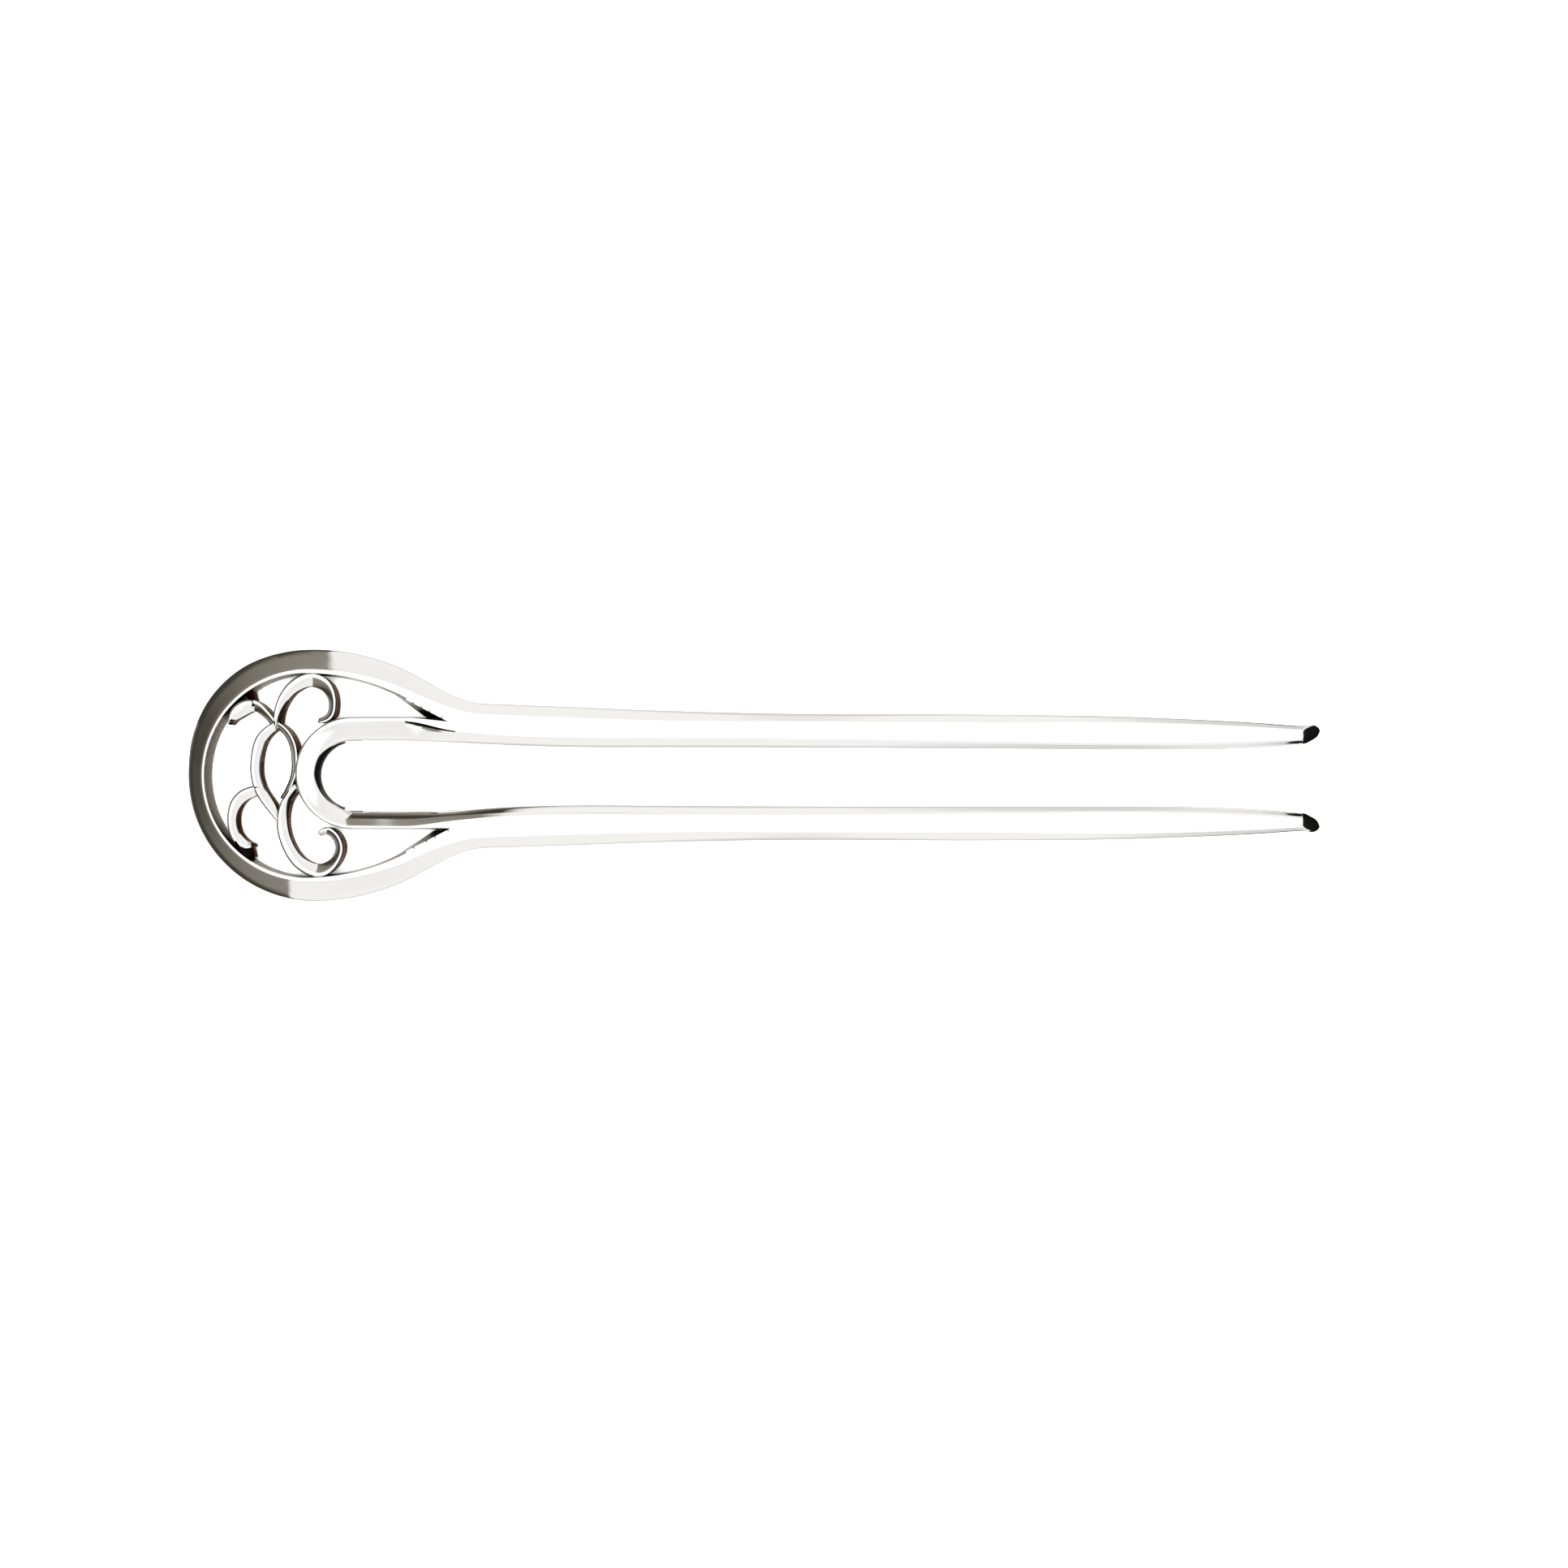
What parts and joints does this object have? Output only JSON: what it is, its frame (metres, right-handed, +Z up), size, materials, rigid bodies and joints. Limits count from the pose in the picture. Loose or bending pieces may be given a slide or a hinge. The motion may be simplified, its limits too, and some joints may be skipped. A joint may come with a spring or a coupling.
{
  "type": "hair fork",
  "caption": "Metal hair fork: a round head pierced with cloud scrolls on long blunt-tipped legs, pushed through a bun to hold it.",
  "frame": {"origin": "centre of the fork's bounding box, on the surface that it lies on", "axes": "+X from the pierced head to the tips of the legs, +Z up out of the upper face, +Y across the fork"},
  "size_m": [0.135, 0.03, 0.0028],
  "materials": {
    "polished_metal": "bright silver-toned plating over cast zinc alloy, tumble polished, duller on the cut walls of the openwork"
  },
  "bodies": {
    "root": {"hair_fork": "polished_metal"}
  },
  "joints": []
}
